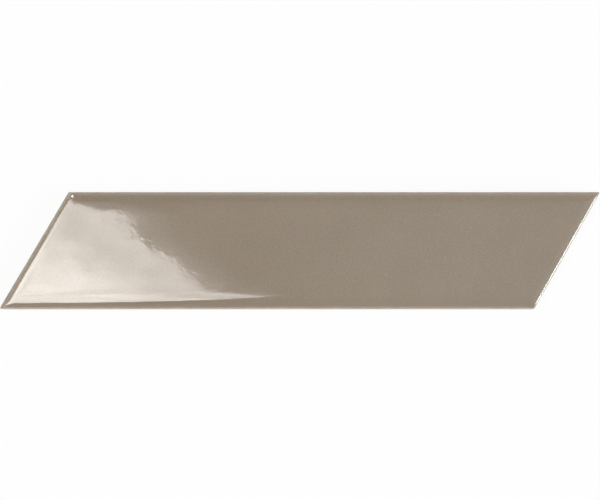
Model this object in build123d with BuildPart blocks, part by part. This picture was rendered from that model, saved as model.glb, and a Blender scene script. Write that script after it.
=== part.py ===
from build123d import *
import os
from math import cos, radians, sin, tan

# Glazed chevron wall tile: one slab, pressed and fired in one piece, whose outline is a leaning
# parallelogram. It lies on its back with the glazed face up. X runs along the two long edges, Y
# across them, and the origin is the middle of the back. Sizes are in millimetres and degrees.

# Outline, seen from above the face
edge_length = 230.0  # each long edge, from corner to corner
tile_width = 50.6  # square across, from one long edge to the other
lean_angle = 60.0  # at the two sharp corners, between a long edge and an end
corner_radius = 0.5

# Section, the same across the long edges and across the leaning ends
thickness = 8.5
cushion_width = 5.0  # band inside every edge where the face curves down
cushion_drop = 0.36  # how far it has curved down where it would meet the side
arris_radius = 1.0  # rounding between the cushion and the side
bevel_width = 0.8  # bevel between the side and the back, across
bevel_height = 1.2  # and up the side

# Keyed back: shallow pockets with ribs between them, which the adhesive grips
key_border = 5.0  # plain band inside every edge of the back
key_pitch_along = 12.3  # wanted spacing of the pockets along the long edges
key_pitch_across = 10.6  # and across them
key_rib = 2.0  # least width of a rib, at the plane of the back
key_depth = 0.8
key_draft = 30.0  # lean of the pocket walls, which lets the die leave them
key_corner = 1.2

lean = radians(lean_angle)


def leaning_corners(length, width):
    """Corners of a parallelogram about the origin, from its long edge and its width across."""
    shift = width / tan(lean)
    return [
        (-(length + shift) / 2, -width / 2),
        ((length - shift) / 2, -width / 2),
        ((length + shift) / 2, width / 2),
        (-(length - shift) / 2, width / 2),
    ]


def tile_section(plane, span):
    """Section through the whole tile on a plane whose Y is up, where it measures span across."""
    half = span / 2
    cushion_radius = (cushion_width**2 + cushion_drop**2) / (2 * cushion_drop)
    with BuildSketch(plane) as section:
        with BuildLine():
            face = Line((0, thickness), (half - cushion_width, thickness))
            cushion = RadiusArc(face @ 1, (half, thickness - cushion_drop), cushion_radius)
            side = Line(cushion @ 1, (half, bevel_height))
            Polyline(side @ 1, (half - bevel_width, 0), (0, 0), face @ 0)
        make_face()
        upper_corner = section.vertices().group_by(Axis.X)[-1].sort_by(Axis.Y)[-1]
        fillet(upper_corner, arris_radius)
        mirror(about=Plane.YZ)
    return section.sketch


def evenly_spread(span, wanted_pitch):
    """Places along a span, centred on zero, and the pitch nearest to the wanted one that fits."""
    count = max(1, round(span / wanted_pitch))
    pitch = span / count
    return [(index - (count - 1) / 2) * pitch for index in range(count)], pitch


# Planes square to the long edges and square to the leaning ends, both with their Y up
across_width = Plane(origin=(0, 0, 0), x_dir=(0, 1, 0), z_dir=(1, 0, 0))
across_ends = Plane(
    origin=(0, 0, 0),
    x_dir=(sin(lean), -cos(lean), 0),
    z_dir=(-cos(lean), -sin(lean), 0),
)

# Pockets fill the back inside its border. A rib's width counts half to each pocket beside it,
# so the field that they share is larger than their mouths by half a rib all round.
field_inset = key_border - key_rib / 2
field_length = edge_length - 2 * field_inset / sin(lean)
field_width = tile_width - 2 * field_inset
columns, column_pitch = evenly_spread(field_length, key_pitch_along)
rows, row_pitch = evenly_spread(field_width, key_pitch_across)
pocket_corners = leaning_corners(column_pitch - key_rib / sin(lean), row_pitch - key_rib)
pocket_places = [(x + y / tan(lean), y) for y in rows for x in columns]

with BuildPart() as pocket:
    with BuildSketch(Plane.XY):
        Polygon(*pocket_corners, align=None)
    extrude(amount=key_depth, taper=key_draft)
    leaning_edges = pocket.edges() - pocket.edges().filter_by(Plane.XY)
    fillet(leaning_edges, key_corner)

with BuildPart() as tile:
    with BuildSketch(Plane.XY):
        Polygon(*leaning_corners(edge_length, tile_width), align=None)
        fillet(vertices(), corner_radius)
    extrude(amount=thickness)

    # The die shapes the face, arris, side and bevel alike on all four sides, mitred at the corners
    long_edges_section = tile_section(across_width, tile_width)
    extrude(long_edges_section, amount=edge_length, both=True, mode=Mode.INTERSECT)
    ends_section = tile_section(across_ends, edge_length * sin(lean))
    extrude(ends_section, amount=edge_length, both=True, mode=Mode.INTERSECT)

    with Locations(*pocket_places):
        add(pocket.part, mode=Mode.SUBTRACT)

tile.part.label = "tile"
os.makedirs("parts", exist_ok=True)
export_step(tile.part, "parts/tile.step")
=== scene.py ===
from math import cos, pi, radians, sin, sqrt, tan

import bmesh
import bpy
from mathutils import Matrix, Vector, noise


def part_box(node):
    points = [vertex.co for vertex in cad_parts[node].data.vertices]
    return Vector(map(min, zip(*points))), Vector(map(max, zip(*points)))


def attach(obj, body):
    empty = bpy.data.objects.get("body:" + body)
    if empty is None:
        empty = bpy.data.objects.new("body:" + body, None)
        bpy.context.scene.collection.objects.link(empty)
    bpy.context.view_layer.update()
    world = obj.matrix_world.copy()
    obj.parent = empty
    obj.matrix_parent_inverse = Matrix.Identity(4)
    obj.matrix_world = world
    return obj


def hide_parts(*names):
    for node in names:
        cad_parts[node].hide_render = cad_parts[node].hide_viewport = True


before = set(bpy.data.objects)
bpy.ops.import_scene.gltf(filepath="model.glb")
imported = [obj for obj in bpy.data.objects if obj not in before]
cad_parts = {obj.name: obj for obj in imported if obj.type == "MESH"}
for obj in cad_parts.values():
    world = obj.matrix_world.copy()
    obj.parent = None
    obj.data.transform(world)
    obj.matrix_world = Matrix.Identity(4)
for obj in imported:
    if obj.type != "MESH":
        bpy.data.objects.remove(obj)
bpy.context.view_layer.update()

# A gloss-glazed chevron wall tile, lying on its back and seen from above. Sizes are in metres.
# One closed mesh stands for the whole tile: the glazed face with its cushioned edges, the sides,
# where the glaze ends in an uneven line above the bare biscuit, and the keyed back.

MM = 0.001
low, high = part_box("tile")

# Outline: it leans and rounds its corners as the solid does, and is sized by the tile's box
LEAN = radians(60)
CORNER_RADIUS = 0.5 * MM
TILE_WIDTH = high[1] - low[1]
THICKNESS = high[2] - low[2]
CORNER_CUT = 2 * CORNER_RADIUS * (1 / tan(LEAN / 2) - 1)
EDGE_LENGTH = high[0] - low[0] + CORNER_CUT - TILE_WIDTH / tan(LEAN)

# Face: each edge curves down in arcs, given as where an arc starts inside the edge, its radius,
# and the width over which it sets in. Inside the upper edge the glaze stands a hair proud.
END_ARC = (4.8 * MM, 34.9 * MM, 1.5 * MM)
LOWER_STEEP = (4.9 * MM, 48.6 * MM, 0.8 * MM)
LOWER_GENTLE = (7.5 * MM, 124 * MM, 1.0 * MM)
UPPER_STEEP = (4.4 * MM, 36 * MM, 0.8 * MM)
UPPER_GENTLE = (9.8 * MM, 226 * MM, 1.0 * MM)
UPPER_PROUD = (19.0 * MM, 1139 * MM, 3.0 * MM)
PROUD_GLAZE = 0.05 * MM
LEFT_MITRE, RIGHT_MITRE = 3, 8  # how sharply the arcs meet in the corners, from 1 up
ARRIS_RADIUS = 0.95 * MM
RING_SPREAD = 0.25  # how much rounder the rings of the rim get for each millimetre inwards
RIM_INSETS = [0.95, 1.1, 1.3, 1.5, 1.75, 2.05, 2.35, 2.65, 3.0]  # millimetres

# Gentle waves in the glaze, as wavelength, height and seed
WAVES = [
    (24.0 * MM, 14.0e-6, 3.1),
    (9.0 * MM, 3.5e-6, 7.7),
]

# Side: the glaze ends in a bead along an uneven line, and stands a little proud of the biscuit
GLAZE_LINE = 4.6 * MM
GLAZE_LINE_SWAY = 0.8 * MM
SWAYS = [(90, 1.0, 5.5), (300, 0.45, 9.2)]  # noise scale, share of the sway and seed
GLAZE_SKIN = 0.11 * MM
BEAD = [(0.35, 0.02 * MM, 1), (1.0, 0.09 * MM, 0)]  # share of the skin, drop, and glazed or not
BEAD_HEIGHT = 0.1 * MM
BEVEL_WIDTH = 0.8 * MM
BEVEL_HEIGHT = 1.2 * MM
BEVEL_SOFTENING = 0.04 * MM
# Where the rings of the side lie, as shares of the glazed part, the bare part and the bevel
GLAZED_SHARES = (0.35, 0.7, 0.95)
BARE_SHARES = (0.25, 0.6, 0.93)
BEVEL_SHARES = (0.0, 0.12, 0.5, 0.88, 1.0)

# Keyed back, as in the solid
KEY_BORDER = 5.0 * MM
KEY_PITCH_ALONG = 12.3 * MM
KEY_PITCH_ACROSS = 10.6 * MM
KEY_RIB = 2.0 * MM
KEY_DEPTH = 0.8 * MM
KEY_CORNER = 1.2 * MM
# Rings of a pocket's wall, as how far out they lie from its mouth, and their share of its depth
POCKET_WALL = [
    (0.40 * MM, 0.0),
    (0.14 * MM, 0.025),
    (0.0, 0.125),
    (-0.23 * MM, 0.5),
    (-0.46 * MM, 0.875),
    (-0.62 * MM, 0.98125),
    (-0.90 * MM, 1.0),
]

# Mesh density, in segments
LONG_COUNT, END_COUNT, ARC_COUNT = 360, 90, 6
CELL_STRAIGHT, CELL_ARC = 4, 4
CELL_SIDE = CELL_STRAIGHT + CELL_ARC
ARRIS_STEPS = 8
MERGE_DISTANCE = 0.002 * MM

# Patterns of noise: scale, detail, roughness, and then the stretch of the noise that counts and
# the two values that it is taken to
GLAZE_GRAIN = (2200, 3, 0.5, 0.35, 0.65, 0.94, 1.06)  # brightness
THIN_AND_LIT_SWAY = (220, 3, 0.5, 0.3, 0.7, -0.15, 0.15)  # millimetres by which the thin glaze and its painted edge light sway
CLOUDS = (24, 6, 0.65, 0.39, 0.61, 0.86, 1.13)  # brightness of the softbox
RAGGED = (120, 6, 0.74, 0.3, 0.7, -6.5, 6.5)  # pixels by which the softbox's first side sways
CLOUD_STRETCH = (0.6, 1.8, 1.0)

# Glaze: mottled between two colours, with pale specks, one in some of the cells of a pattern
GLAZE_COLOURS = (0.258, 0.204, 0.151), (0.300, 0.240, 0.181)
MOTTLE_SCALE, MOTTLE_DETAIL = 45, 5
SPECK_COLOUR = (0.62, 0.56, 0.48)
SPECK_CELLS = 80  # to a metre
SPECK_CHANCE = (0.7, 0.8)  # the cells' random numbers from which they have a speck
SPECK_RADII = (0.008, 0.03)  # its full and its soft radius, in cells
SPECK_STRENGTH = 0.25
# It is thinner and lighter towards the edges, the lightening partly painted light: how much, at
# millimetres from the nearest
THIN_GLAZE_AND_EDGE_LIGHT = [(0.0, 1.0), (0.45, 0.5), (0.9, 0.22), (1.5, 0.12), (2.3, 0.06), (3.4, 0.0)]
# pale colour of the thin glaze together with the painted light on the edges
THIN_GLAZE_AND_EDGE_LIGHT_COLOUR = (0.460, 0.385, 0.300)
LEFT_EDGE_LIGHT_REACH = 2.3  # how much further in the lighter band reaches at the left end, as painted light from the softbox's side
# Ripples too fine for the mesh, as noise scale and height, and where they set in at the edges
RIPPLES = [(210, 4.0e-6), (520, 6.5e-6), (1000, 3.5e-6)]
RIPPLES_FROM, RIPPLES_FULL = 1.7, 4.0  # millimetres
RIPPLE_DETAIL = 2
GLAZE_ROUGHNESS, GLAZE_IOR = 0.02, 1.6
GLOSS_FROM, GLOSS_FULL = 0.4, 0.6  # how far a point is glazed where gloss starts, and is full

# Biscuit: pressed, buff and sandy
BISCUIT_COLOURS = (0.560, 0.470, 0.360), (0.720, 0.640, 0.530)
BISCUIT_SCALE, BISCUIT_DETAIL, BISCUIT_UNEVEN = 140, 6, 0.7
SAND_SCALE, SAND_DETAIL = 3200, 3
SAND_SHADES = (0.3, 0.7, 0.82, 1.08)  # stretch of its noise, and the brightness at the ends
SAND_HEIGHT = 0.06 * MM
BISCUIT_ROUGHNESS = 0.88

# Floor
FLOOR_HALF = 3.0  # from its middle to each side
FLOOR_GAP = 0.05 * MM  # keeps the floor just clear of the back
PAPER = (0.9, 0.9, 0.9)
FLOOR_GLOW = 0.92  # how much of the floor's look is plain white, and not light and shadow

# Camera: looks down at the face, from a little towards the lower long edge
PHOTO_WIDTH = 600
PHOTO_SCALE = 0.4304 * MM  # size of a pixel on the face
LENS = 100.0
SENSOR = 36.0
CAMERA_DISTANCE = PHOTO_WIDTH * PHOTO_SCALE * LENS / SENSOR
CAMERA_TILT = radians(5.4)
VIEW_CENTRE = (-0.3 * MM, 0.0)
FRAME_CENTRE = Vector((300.0, 250.0))  # pixels
CAMERA_PLACE = Vector((
    VIEW_CENTRE[0],
    VIEW_CENTRE[1] - CAMERA_DISTANCE * sin(CAMERA_TILT),
    THICKNESS + CAMERA_DISTANCE * cos(CAMERA_TILT),
))

# Softbox: it hangs level, as high as the camera. Its corners are in pixels of the frame, where a
# flat face would mirror them, and its first side is the one that the face shows.
SOFTBOX_CORNERS = [
    (267, 334), (-40, 107), (-88, 225), (-90, 385), (-74, 430), (20, 457), (130, 433), (185, 402),
]
# Its glow, at pixels inside its first side: a faint halo, a cloudy band, then full
SOFTBOX_GLOW = [
    (-34, 0), (-17, 0.6), (-8, 1.2), (-2.8, 1.9), (0.4, 6.1), (8, 7.0), (16, 7.4), (27, 6.5),
    (38, 6.9), (47, 7.5), (57, 8.8), (74, 10), (95, 10.4),
]
# Its share of that glow, at pixels along its first side
SOFTBOX_FADE = [(0, 0.74), (60, 0.80), (100, 0.92), (150, 1.0), (400, 1.04)]
SOFTBOX_BORDER = 6  # pixels over which it fades at its other sides
SOFTBOX_MARGIN = 1.3  # how much larger than its glow its cloth is
SOFTBOX_COLOUR = (1.0, 0.97, 0.935)

# Strip light: it hangs beyond the right end, parallel to it. Its first size is along the end.
STRIP_OUT, STRIP_ALONG, STRIP_UP = 1.37, 0.258, 0.83
STRIP_SIZE = (0.27, 1.05)
STRIP_RADIANCE = 19.5
STRIP_COLOUR = (0.87, 0.96, 1.0)

# Small lamp: it hangs where the face mirrors it at a pixel of the frame
SMALL_LAMP_PIXEL = (71.4, 195.9)
SMALL_LAMP_TURN = radians(30)
SMALL_LAMP_SIZE = (0.048, 0.042)
SMALL_LAMP_RADIANCE = 20.0

# World: how bright it is as light, and how bright its ceiling looks in the glaze overhead
WORLD_LIGHT = 0.50
CEILING = 0.6
CEILING_HEIGHTS = (0.5, 0.8)  # how steeply up the ceiling starts, and is full
# How that changes towards the sides: the axis, a stretch of the direction's part along it, and
# the change at the two ends of the stretch
CEILING_SIDES = [
    ("Y", 0.10, 0.20, 0.0, -0.45),
    ("Y", 0.29, 0.36, 0.0, 0.8),
    ("Y", -0.15, 0.0, -0.5, 0.0),
    ("X", -0.32, -0.18, 0.6, 0.0),
    ("X", -0.12, 0.16, -0.2, 0.2),
]


class Skin:
    """Collects points and faces. Each point also notes how far it is glazed, from 0 to 1."""

    def __init__(self):
        self.points = []
        self.faces = []
        self.glazed = []

    def add(self, points, glazed):
        """Adds points and returns their numbers."""
        first = len(self.points)
        self.points.extend(points)
        self.glazed.extend([glazed] * len(points))
        return list(range(first, len(self.points)))

    def bridge(self, outer, inner):
        """Joins two closed rings that have as many points."""
        for here in range(len(outer)):
            ahead = (here + 1) % len(outer)
            self.faces.append((outer[here], outer[ahead], inner[ahead], inner[here]))

    def grow(self, last, points, glazed):
        """Adds a ring and joins it to the one before it."""
        ring = self.add(points, glazed)
        self.bridge(last, ring)
        return ring

    def stitch(self, outer, outer_sides, inner, inner_sides):
        """Joins two closed rings of different counts, side by side, with triangles."""
        outer_start, inner_start = 0, 0
        for outer_count, inner_count in zip(outer_sides, inner_sides):
            i, j = 0, 0
            while i < outer_count or j < inner_count:
                a = outer[(outer_start + i) % len(outer)]
                b = inner[(inner_start + j) % len(inner)]
                outer_is_behind = (i + 1) * inner_count <= (j + 1) * outer_count
                if j == inner_count or (i < outer_count and outer_is_behind):
                    i += 1
                    self.faces.append((a, outer[(outer_start + i) % len(outer)], b))
                else:
                    j += 1
                    self.faces.append((a, inner[(inner_start + j) % len(inner)], b))
            outer_start += outer_count
            inner_start += inner_count

    def fill(self, ring, long_count, end_count, glazed, height):
        """Fills a ring of four sides with a grid, whose points lie at height(x, y)."""
        turn = ring + ring[:1]
        near = turn[:long_count + 1]
        right = turn[long_count:long_count + end_count + 1]
        far = turn[long_count + end_count:2 * long_count + end_count + 1][::-1]
        left = turn[2 * long_count + end_count:][::-1]
        flat = {number: Vector(self.points[number]).to_2d() for number in ring}
        rows = [near]
        for j in range(1, end_count):
            v = j / end_count
            row = [left[j]]
            for i in range(1, long_count):
                u = i / long_count
                place = flat[near[i]] * (1 - v) + flat[far[i]] * v
                place += flat[left[j]] * (1 - u) + flat[right[j]] * u
                place -= (flat[near[0]] * (1 - u) + flat[near[-1]] * u) * (1 - v)
                place -= (flat[far[0]] * (1 - u) + flat[far[-1]] * u) * v
                row += self.add([(place.x, place.y, height(place.x, place.y))], glazed)
            rows.append(row + [right[j]])
        rows.append(far)
        for below, above in zip(rows, rows[1:]):
            for i in range(long_count):
                self.faces.append((below[i], below[i + 1], above[i + 1], above[i]))


def leaning_ring(length, width, radius, long_count, end_count, arc_count, middle=(0, 0)):
    """Points round a leaning parallelogram with rounded corners, from the middle of its lower
    left corner's arc, anticlockwise. Each side has its straight segments and two half arcs."""
    shift = width / tan(LEAN)
    corners = [
        (Vector((-(length + shift) / 2, -width / 2)), LEAN, pi / 2 + LEAN),
        (Vector(((length - shift) / 2, -width / 2)), pi - LEAN, -pi / 2),
        (Vector(((length + shift) / 2, width / 2)), LEAN, -pi / 2 + LEAN),
        (Vector((-(length - shift) / 2, width / 2)), pi - LEAN, pi / 2),
    ]
    arcs = []
    for corner, opening, start in corners:
        turn = pi - opening
        inward = start + turn / 2 + pi
        centre = corner + Vector((cos(inward), sin(inward))) * radius / sin(opening / 2)
        arc = []
        for step in range(arc_count + 1):
            angle = start + turn * step / arc_count if arc_count else start
            arc.append(centre + Vector((cos(angle), sin(angle))) * radius)
        arcs.append(arc)
    ring = []
    half = arc_count // 2
    for number, count in enumerate((long_count, end_count, long_count, end_count)):
        here, ahead = arcs[number], arcs[(number + 1) % 4]
        ring += here[half:]
        ring += [here[-1].lerp(ahead[0], step / count) for step in range(1, count)]
        ring += ahead[:half]
    return [(point.x + middle[0], point.y + middle[1]) for point in ring]


def outline(inset, radius):
    """The tile's outline, brought in from every edge, with its corners rounded."""
    length = EDGE_LENGTH - 2 * inset / sin(LEAN)
    width = TILE_WIDTH - 2 * inset
    return leaning_ring(length, width, radius, LONG_COUNT, END_COUNT, ARC_COUNT)


def edge_distances(x, y):
    """How far a point is from the two long edges and from the two ends."""
    along = (x - y / tan(LEAN)) * sin(LEAN)
    half_span = EDGE_LENGTH * sin(LEAN) / 2
    return TILE_WIDTH / 2 + y, TILE_WIDTH / 2 - y, half_span + along, half_span - along


def rim_distance(x, y):
    """How far a point is from the nearest edge, as the glaze thins towards it; the left end counts as
    nearer, so that painted light from the softbox's side reaches further in there.
    """
    near, far, left, right = edge_distances(x, y)
    return min(near, far, left / LEFT_EDGE_LIGHT_REACH, right)


def arc_fall(distance, start, radius, blend):
    """How far an arc has curved down at a distance from its edge."""
    inner = start + blend - distance
    if inner <= 0:
        return 0
    if inner < 2 * blend:
        return inner**3 / (12 * blend * radius)
    return (start - distance)**2 / (2 * radius) + blend**2 / (6 * radius)


def mitre(first, second, sharpness):
    """Falls from two sides of a corner, joined into one."""
    return (first**sharpness + second**sharpness)**(1 / sharpness)


def face_height(x, y):
    """Height of the glazed face, before the arris."""
    near, far, left, right = edge_distances(x, y)
    steep = arc_fall(near, *LOWER_STEEP) + arc_fall(far, *UPPER_STEEP)
    across = steep + arc_fall(near, *LOWER_GENTLE) + arc_fall(far, *UPPER_GENTLE)
    fall = mitre(across, arc_fall(right, *END_ARC), RIGHT_MITRE)
    fall += mitre(steep, arc_fall(left, *END_ARC), LEFT_MITRE) - steep
    fall -= arc_fall(far, *UPPER_PROUD)
    # The waves only lower the face, so that it stays inside the solid's box
    waves = 0
    for length, height, seed in WAVES:
        place = Vector((x * 2 / length, y * 2 / length, seed))
        waves += height * (noise.noise(place) - 1)
    return THICKNESS - PROUD_GLAZE - fall + waves


def arris_fall(inset):
    """How far the arris has rounded down at an inset from the outline."""
    if inset >= ARRIS_RADIUS:
        return 0
    return ARRIS_RADIUS - sqrt(ARRIS_RADIUS**2 - (ARRIS_RADIUS - inset)**2)


def glaze_end(x, y):
    """Height at which the glaze ends on the side."""
    sway = 0
    for scale, share, seed in SWAYS:
        sway += share * noise.noise(Vector((x * scale, y * scale, seed)))
    return GLAZE_LINE + GLAZE_LINE_SWAY * sway


def build_rim(skin):
    """Rings from the arris in to where the grid of the face starts."""
    insets = [ARRIS_RADIUS * (1 - cos(pi / 2 * step / ARRIS_STEPS)) for step in range(ARRIS_STEPS)]
    insets += [inset * MM for inset in RIM_INSETS]
    rings = []
    for inset in insets:
        flat = outline(inset, CORNER_RADIUS + RING_SPREAD * inset)
        points = [(x, y, face_height(x, y) - arris_fall(inset)) for x, y in flat]
        rings.append(skin.add(points, 1))
    for outer, inner in zip(rings, rings[1:]):
        skin.bridge(outer, inner)
    return rings[0], rings[-1]


def build_side(skin, upper):
    """The side below the arris: the glaze down to its uneven end, then biscuit to the bevel."""
    edge = outline(0, CORNER_RADIUS)
    ends = [glaze_end(x, y) for x, y in edge]
    tops = [skin.points[number][2] for number in upper]
    ring = upper
    for share in GLAZED_SHARES:
        heights = [top + (end - top) * share for top, end in zip(tops, ends)]
        ring = skin.grow(ring, [(x, y, z) for (x, y), z in zip(edge, heights)], 1)
    for share, drop, glazed in BEAD:
        bead = outline(share * GLAZE_SKIN, CORNER_RADIUS)
        ring = skin.grow(ring, [(x, y, end - drop) for (x, y), end in zip(bead, ends)], glazed)
    bare = outline(GLAZE_SKIN, CORNER_RADIUS)
    for share in BARE_SHARES:
        heights = [end - BEAD_HEIGHT + (BEVEL_HEIGHT - end) * share for end in ends]
        ring = skin.grow(ring, [(x, y, z) for (x, y), z in zip(bare, heights)], 0)
    # The bevel, with both its edges a little rounded
    for share in BEVEL_SHARES:
        inset = GLAZE_SKIN + (BEVEL_WIDTH - GLAZE_SKIN) * share
        height = BEVEL_HEIGHT * (1 - share)
        if share == 0:
            height += BEVEL_SOFTENING
        if share == 1:
            inset += BEVEL_SOFTENING
        ring = skin.grow(ring, [(x, y, height) for x, y in outline(inset, CORNER_RADIUS)], 0)
    return ring


def evenly_spread(span, wanted_pitch):
    """Places along a span, centred on zero, and the pitch nearest to the wanted one that fits."""
    count = max(1, round(span / wanted_pitch))
    pitch = span / count
    return [(index - (count - 1) / 2) * pitch for index in range(count)], pitch


def build_pocket(skin, middle, pitch_along, pitch_across):
    """One cell of the keyed back: half a rib all round, drafted walls and the floor."""
    cell = leaning_ring(pitch_along, pitch_across, 0, CELL_SIDE, CELL_SIDE, 0, middle)
    ring = skin.add([(x, y, 0) for x, y in cell], 0)
    for out, share in POCKET_WALL:
        length = pitch_along - (KEY_RIB - 2 * out) / sin(LEAN)
        width = pitch_across - KEY_RIB + 2 * out
        radius = KEY_CORNER + out
        flat = leaning_ring(length, width, radius, CELL_STRAIGHT, CELL_STRAIGHT, CELL_ARC, middle)
        ring = skin.grow(ring, [(x, y, share * KEY_DEPTH) for x, y in flat], 0)
    skin.fill(ring, CELL_SIDE, CELL_SIDE, 0, lambda x, y: KEY_DEPTH)


def build_back(skin, edge):
    """The back: a plain border inside the bevel, then the field of pockets."""
    field_inset = KEY_BORDER - KEY_RIB / 2
    field_length = EDGE_LENGTH - 2 * field_inset / sin(LEAN)
    field_width = TILE_WIDTH - 2 * field_inset
    columns, column_pitch = evenly_spread(field_length, KEY_PITCH_ALONG)
    rows, row_pitch = evenly_spread(field_width, KEY_PITCH_ACROSS)
    along, across = CELL_SIDE * len(columns), CELL_SIDE * len(rows)
    field = leaning_ring(field_length, field_width, 0, along, across, 0)
    inner = skin.add([(x, y, 0) for x, y in field], 0)
    outer_sides = [LONG_COUNT + ARC_COUNT, END_COUNT + ARC_COUNT] * 2
    skin.stitch(edge, outer_sides, inner, [along, across] * 2)
    for y in rows:
        for x in columns:
            build_pocket(skin, (x + y / tan(LEAN), y), column_pitch, row_pitch)


def new_object(name, data):
    """An object with its data, in the scene."""
    thing = bpy.data.objects.new(name, data)
    bpy.context.collection.objects.link(thing)
    return thing


def build_tile():
    """The whole tile as one closed mesh."""
    skin = Skin()
    upper, inner = build_rim(skin)
    skin.fill(inner, LONG_COUNT + ARC_COUNT, END_COUNT + ARC_COUNT, 1, face_height)
    edge = build_side(skin, upper)
    build_back(skin, edge)

    mesh = bpy.data.meshes.new("glazed_tile")
    mesh.from_pydata(skin.points, [], skin.faces)
    glazed = mesh.attributes.new("glazed", "FLOAT", "POINT")
    glazed.data.foreach_set("value", skin.glazed)
    rim = mesh.attributes.new("rim", "FLOAT", "POINT")
    rim.data.foreach_set("value", [rim_distance(x, y) / MM for x, y, z in skin.points])

    shape = bmesh.new()
    shape.from_mesh(mesh)
    bmesh.ops.remove_doubles(shape, verts=shape.verts, dist=MERGE_DISTANCE)
    bmesh.ops.recalc_face_normals(shape, faces=shape.faces)
    shape.to_mesh(mesh)
    shape.free()
    mesh.shade_smooth()
    return new_object("glazed_tile", mesh)


class Tree:
    """A node tree, with short ways to add the nodes that the materials and lamps use."""

    def __init__(self, owner, output):
        owner.use_nodes = True
        self.nodes = owner.node_tree.nodes
        self.links = owner.node_tree.links
        self.nodes.clear()
        self.output = self.nodes.new(output)

    def put(self, socket, value):
        """Links a socket to another one, or sets it to a number or a colour."""
        if isinstance(value, bpy.types.NodeSocket):
            self.links.new(value, socket)
        elif isinstance(value, tuple) and len(value) < len(socket.default_value):
            socket.default_value = (*value, 1)
        else:
            socket.default_value = value

    def add(self, kind, settings=None, **inputs):
        """Adds a node. Inputs are named with underscores for spaces."""
        node = self.nodes.new(kind)
        for name, value in (settings or {}).items():
            setattr(node, name, value)
        for name, value in inputs.items():
            self.put(node.inputs[name.replace("_", " ")], value)
        return node

    def math(self, operation, first, second):
        """A sum, product or other operation on two numbers."""
        node = self.add("ShaderNodeMath", {"operation": operation})
        self.put(node.inputs[0], first)
        self.put(node.inputs[1], second)
        return node.outputs[0]

    def ramp(self, value, from_low, from_high, to_low, to_high):
        """Takes a value smoothly from one range to another."""
        node = self.add(
            "ShaderNodeMapRange", {"interpolation_type": "SMOOTHSTEP"}, Value=value,
            From_Min=from_low, From_Max=from_high, To_Min=to_low, To_Max=to_high,
        )
        return node.outputs["Result"]

    def curve(self, value, marks):
        """A number that follows marks, each a place and a height, smoothly between them."""
        start, reach = marks[0][0], marks[-1][0] - marks[0][0]
        along = self.math("DIVIDE", self.math("SUBTRACT", value, start), reach)
        node = self.add("ShaderNodeValToRGB", Fac=along)
        node.color_ramp.interpolation = "EASE"
        elements = node.color_ramp.elements
        for place, height in marks[1:-1]:
            elements.new((place - start) / reach)
        for element, (place, height) in zip(elements, marks):
            element.color = (height, height, height, 1)
        return node.outputs["Color"]

    def noise(self, place, scale, detail, roughness=0.5):
        """Smooth random numbers about a half, for each place."""
        node = self.add(
            "ShaderNodeTexNoise", Vector=place, Scale=scale, Detail=detail, Roughness=roughness)
        return node.outputs["Fac"]

    def pattern(self, place, scale, detail, roughness, *ranges):
        """Noise of which one stretch is taken to a range of values."""
        return self.ramp(self.noise(place, scale, detail, roughness), *ranges)

    def mix(self, factor, first, second):
        """Mixes two colours."""
        node = self.add("ShaderNodeMix", {"data_type": "RGBA"})
        colours = [socket for socket in node.inputs if socket.type == "RGBA"]
        self.put(node.inputs[0], factor)
        self.put(colours[0], first)
        self.put(colours[1], second)
        return [socket for socket in node.outputs if socket.type == "RGBA"][0]

    def shade(self, colour, value):
        """A colour times a number."""
        node = self.add("ShaderNodeVectorMath", {"operation": "SCALE"})
        self.put(node.inputs[0], colour)
        self.put(node.inputs["Scale"], value)
        return node.outputs[0]

    def bump(self, height, distance, before=None, strength=1.0):
        """Relief of a given height in metres, on top of another."""
        node = self.add("ShaderNodeBump", Height=height, Distance=distance, Strength=strength)
        if before:
            self.links.new(before, node.inputs["Normal"])
        return node.outputs["Normal"]

    def seen(self):
        """1 for rays from the camera, or by way of gloss or glass, and 0 for the light that falls."""
        path = self.add("ShaderNodeLightPath").outputs
        direct = self.math("MAXIMUM", path["Is Camera Ray"], path["Is Glossy Ray"])
        return self.math("MAXIMUM", direct, path["Is Transmission Ray"])

    def join(self, kind, first, second, factor=None):
        """Mixes or adds two shaders."""
        node = self.add(kind)
        if factor is not None:
            self.put(node.inputs["Fac"], factor)
        shaders = [socket for socket in node.inputs if socket.type == "SHADER"]
        self.links.new(first.outputs[0], shaders[0])
        self.links.new(second.outputs[0], shaders[1])
        return node

    def finish(self, shader):
        """Links the shader to the output."""
        self.links.new(shader.outputs[0], self.output.inputs["Surface"])


def glaze_colour(tree, place, rim):
    """A warm taupe, faintly mottled and speckled, thinner towards the edges and lighter there, partly
    with painted light.
    """
    glaze = tree.mix(tree.noise(place, MOTTLE_SCALE, MOTTLE_DETAIL), *GLAZE_COLOURS)
    glaze = tree.shade(glaze, tree.pattern(place, *GLAZE_GRAIN))
    cells = tree.add(
        "ShaderNodeTexVoronoi", {"voronoi_dimensions": "2D"}, Vector=place, Scale=SPECK_CELLS)
    random = tree.add("ShaderNodeSeparateColor", Color=cells.outputs["Color"]).outputs[0]
    chosen = tree.ramp(random, *SPECK_CHANCE, 0, 1)
    speck = tree.math("MULTIPLY", tree.ramp(cells.outputs["Distance"], *SPECK_RADII, 1, 0), chosen)
    glaze = tree.mix(tree.math("MULTIPLY", speck, SPECK_STRENGTH), glaze, SPECK_COLOUR)
    # painted light: the edges are lightened towards a pale colour, on top of the thinner glaze
    thin_and_lit = tree.curve(tree.math("ADD", rim, tree.pattern(place, *THIN_AND_LIT_SWAY)), THIN_GLAZE_AND_EDGE_LIGHT)
    return tree.mix(thin_and_lit, glaze, THIN_GLAZE_AND_EDGE_LIGHT_COLOUR)


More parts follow.
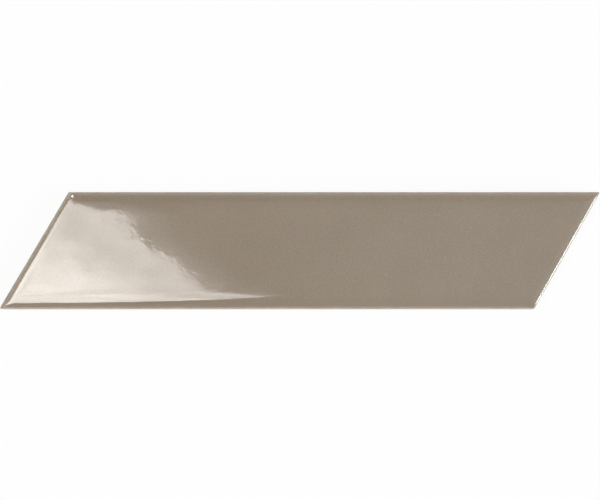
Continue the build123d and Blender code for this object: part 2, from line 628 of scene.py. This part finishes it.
def tile_material():
    """Gloss glaze where the point is glazed, bare pressed biscuit elsewhere."""
    material = bpy.data.materials.new("gloss_glaze_on_biscuit")
    tree = Tree(material, "ShaderNodeOutputMaterial")
    place = tree.add("ShaderNodeTexCoord").outputs["Object"]
    glazed = tree.add("ShaderNodeAttribute", {"attribute_name": "glazed"}).outputs["Fac"]
    rim = tree.add("ShaderNodeAttribute", {"attribute_name": "rim"}).outputs["Fac"]
    glaze = glaze_colour(tree, place, rim)
    sand = tree.noise(place, SAND_SCALE, SAND_DETAIL)
    uneven = tree.noise(place, BISCUIT_SCALE, BISCUIT_DETAIL, BISCUIT_UNEVEN)
    biscuit = tree.shade(tree.mix(uneven, *BISCUIT_COLOURS), tree.ramp(sand, *SAND_SHADES))

    # Relief too fine for the mesh: ripples in the glaze, calm at the edges, and the biscuit's sand
    calm = tree.ramp(rim, RIPPLES_FROM, RIPPLES_FULL, 0.0, 1.0)
    relief = None
    for scale, height in RIPPLES:
        relief = tree.bump(tree.noise(place, scale, RIPPLE_DETAIL), height, relief, calm)
    grains = tree.math("MULTIPLY", sand, tree.math("SUBTRACT", 1.0, glazed))
    relief = tree.bump(grains, SAND_HEIGHT, relief)

    shader = tree.add(
        "ShaderNodeBsdfPrincipled",
        Base_Color=tree.mix(glazed, biscuit, glaze),
        Roughness=tree.ramp(glazed, GLOSS_FROM, GLOSS_FULL, BISCUIT_ROUGHNESS, GLAZE_ROUGHNESS),
        IOR=GLAZE_IOR,
        Normal=relief,
    )
    tree.finish(shader)
    return material


def floor_material():
    """A white studio floor that keeps a faint shadow, and is clear from below."""
    material = bpy.data.materials.new("studio_floor")
    tree = Tree(material, "ShaderNodeOutputMaterial")
    paper = tree.add("ShaderNodeBsdfDiffuse", Color=PAPER)
    white = tree.add("ShaderNodeEmission", Color=(1.0, 1.0, 1.0), Strength=1.0)
    glow = tree.math("MULTIPLY", tree.seen(), FLOOR_GLOW)
    top = tree.join("ShaderNodeMixShader", paper, white, glow)
    clear = tree.add("ShaderNodeBsdfTransparent", Color=(1.0, 1.0, 1.0))
    below = tree.add("ShaderNodeNewGeometry").outputs["Backfacing"]
    tree.finish(tree.join("ShaderNodeMixShader", top, clear, below))
    return material


def sheet_mesh(name, corners, faces, material):
    """A flat piece of any outline."""
    mesh = bpy.data.meshes.new(name)
    mesh.from_pydata([(*corner, 0) for corner in corners], [], faces)
    mesh.materials.append(material)
    return mesh


def build_floor():
    """The floor that the tile lies on, open under the back so that it can be seen from below."""
    corners = [(-FLOOR_HALF, -FLOOR_HALF), (FLOOR_HALF, -FLOOR_HALF)]
    corners += [(FLOOR_HALF, FLOOR_HALF), (-FLOOR_HALF, FLOOR_HALF)]
    opening_length = EDGE_LENGTH - 2 * BEVEL_WIDTH / sin(LEAN)
    opening_width = TILE_WIDTH - 2 * BEVEL_WIDTH
    corners += leaning_ring(opening_length, opening_width, 0, 1, 1, 0)
    faces = [(side, (side + 1) % 4, (side + 1) % 4 + 4, side + 4) for side in range(4)]
    floor = new_object("floor", sheet_mesh("floor", corners, faces, floor_material()))
    floor.location.z = -FLOOR_GAP


def build_camera():
    """The camera, aimed at the middle of the face."""
    data = bpy.data.cameras.new("camera")
    data.lens = LENS
    data.sensor_width = SENSOR
    camera = new_object("camera", data)
    camera.location = CAMERA_PLACE
    camera.rotation_euler = (CAMERA_TILT, 0, 0)
    bpy.context.scene.camera = camera


def frame_point(pixel):
    """The point of the face at a pixel of the frame, seen from above."""
    u, v = Vector(pixel) - FRAME_CENTRE
    return Vector(VIEW_CENTRE) + Vector((u, -v)) * PHOTO_SCALE


def softbox_point(pixel):
    """Where a pixel's point on the softbox hangs, seen from above."""
    return 2 * frame_point(pixel) - CAMERA_PLACE.to_2d()


def mirrored_place(point, height):
    """Where a thing at a height must hang for the camera to see it mirrored at a point."""
    x, y = point
    step = 0.02 * MM
    slope_x = (face_height(x + step, y) - face_height(x - step, y)) / (2 * step)
    slope_y = (face_height(x, y + step) - face_height(x, y - step)) / (2 * step)
    place = Vector((x, y, face_height(x, y)))
    sight = (place - CAMERA_PLACE).normalized()
    ray = sight.reflect(Vector((-slope_x, -slope_y, 1)).normalized())
    return place + ray * (height - place.z) / ray.z


def inside_of(tree, place, normal, offset):
    """How far a point is inside one side, in pixels."""
    reach = tree.add("ShaderNodeVectorMath", {"operation": "DOT_PRODUCT"})
    tree.put(reach.inputs[0], place)
    tree.put(reach.inputs[1], (*normal, 0))
    beyond = tree.math("SUBTRACT", reach.outputs["Value"], offset)
    return tree.math("DIVIDE", beyond, 2 * PHOTO_SCALE)


def softbox_material(sides, first_corner):
    """Glowing cloth with a soft border, cloudy and brighter away from its first side."""
    material = bpy.data.materials.new("softbox_cloth")
    tree = Tree(material, "ShaderNodeOutputMaterial")
    place = tree.add("ShaderNodeTexCoord").outputs["Object"]
    depth = tree.math("ADD", inside_of(tree, place, *sides[0]), tree.pattern(place, *RAGGED))
    glow = tree.curve(depth, SOFTBOX_GLOW)
    for side in sides[1:]:
        inside = inside_of(tree, place, *side)
        border = tree.ramp(inside, -SOFTBOX_BORDER / 2, SOFTBOX_BORDER / 2, 0.0, 1.0)
        glow = tree.math("MULTIPLY", border, glow)
    run = Vector(sides[0][0]).orthogonal()
    along = tree.math("ABSOLUTE", inside_of(tree, place, tuple(run), run.dot(first_corner)), 0)
    glow = tree.math("MULTIPLY", glow, tree.curve(along, SOFTBOX_FADE))
    stretched = tree.add("ShaderNodeMapping", Vector=place, Scale=CLOUD_STRETCH).outputs["Vector"]
    glow = tree.math("MULTIPLY", glow, tree.pattern(stretched, *CLOUDS))
    clear = tree.add("ShaderNodeBsdfTransparent", Color=(1.0, 1.0, 1.0))
    light = tree.add("ShaderNodeEmission", Color=SOFTBOX_COLOUR, Strength=glow)
    tree.finish(tree.join("ShaderNodeAddShader", clear, light))
    return material


def build_softbox():
    """The key light."""
    corners = [softbox_point(pixel) for pixel in SOFTBOX_CORNERS]
    middle = sum(corners, Vector((0, 0))) / len(corners)
    sides = []
    for here, ahead in zip(corners, corners[1:] + corners[:1]):
        run = (ahead - here).normalized()
        inward = Vector((-run.y, run.x))
        if inward.dot(middle - here) < 0:
            inward = -inward
        sides.append((tuple(inward), inward.dot(here)))
    cloth = softbox_material(sides, corners[0])
    outer = [tuple(middle + (corner - middle) * SOFTBOX_MARGIN) for corner in corners]
    whole = [tuple(range(len(outer)))]
    softbox = new_object("softbox", sheet_mesh("softbox", outer, whole, cloth))
    softbox.location.z = CAMERA_PLACE.z
    softbox.visible_camera = False


def area_light(name, place, across, outward, size, radiance, colour=(1.0, 1.0, 1.0)):
    """A rectangular lamp of a given brightness. Its width runs along a direction, and it shines
    against another one."""
    data = bpy.data.lights.new(name, "AREA")
    data.shape = "RECTANGLE"
    data.size, data.size_y = size
    data.energy = radiance * pi * size[0] * size[1]
    data.color = colour
    lamp = new_object(name, data)
    lamp.location = place
    upright = outward.normalized().cross(across)
    lamp.rotation_euler = Matrix((across, upright, outward.normalized())).transposed().to_euler()
    lamp.visible_camera = False


def build_strip():
    """A strip light whose reflection draws a line along the right end's arris."""
    middle = Vector((EDGE_LENGTH / 2, 0, THICKNESS))
    out = Vector((sin(LEAN), -cos(LEAN), 0)) * STRIP_OUT + Vector((0, 0, STRIP_UP))
    along = Vector((cos(LEAN), sin(LEAN), 0))
    place = middle + out + along * STRIP_ALONG
    area_light("strip", place, along, out, STRIP_SIZE, STRIP_RADIANCE, STRIP_COLOUR)


def build_small_lamp():
    """A small lamp that the face mirrors as a dot in its upper left corner."""
    turned = Vector((cos(SMALL_LAMP_TURN), sin(SMALL_LAMP_TURN), 0))
    straight_up = Vector((0, 0, 1))
    place = mirrored_place(frame_point(SMALL_LAMP_PIXEL), CAMERA_PLACE.z)
    area_light("small_lamp", place, turned, straight_up, SMALL_LAMP_SIZE, SMALL_LAMP_RADIANCE)


def build_world():
    """White for the eye, with a dimmer ceiling as the glaze mirrors it, and dimmer as light."""
    world = bpy.data.worlds.new("studio")
    tree = Tree(world, "ShaderNodeOutputWorld")
    direction = tree.add("ShaderNodeTexCoord").outputs["Generated"]
    part = tree.add("ShaderNodeSeparateXYZ", Vector=direction).outputs
    ceiling = CEILING
    for axis, *ranges in CEILING_SIDES:
        ceiling = tree.math("ADD", ceiling, tree.ramp(part[axis], *ranges))
    ceiling = tree.math("MAXIMUM", ceiling, 0.0)
    glossy = tree.add("ShaderNodeLightPath").outputs["Is Glossy Ray"]
    overhead = tree.math("MULTIPLY", tree.ramp(part["Z"], *CEILING_HEIGHTS, 0.0, 1.0), glossy)
    shade = tree.math("MULTIPLY", overhead, tree.math("SUBTRACT", 1, ceiling))
    seen = tree.seen()
    white = tree.math("MULTIPLY", tree.math("SUBTRACT", 1, shade), seen)
    cast = tree.math("MULTIPLY", tree.math("SUBTRACT", 1, seen), WORLD_LIGHT)
    light = tree.math("ADD", white, cast)
    tree.finish(tree.add("ShaderNodeBackground", Color=(1.0, 1.0, 1.0), Strength=light))
    bpy.context.scene.world = world


tile = build_tile()
tile.data.materials.append(tile_material())
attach(tile, "root")
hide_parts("tile")
build_floor()
build_camera()
build_softbox()
build_strip()
build_small_lamp()
build_world()
bpy.context.scene.view_settings.view_transform = "Standard"
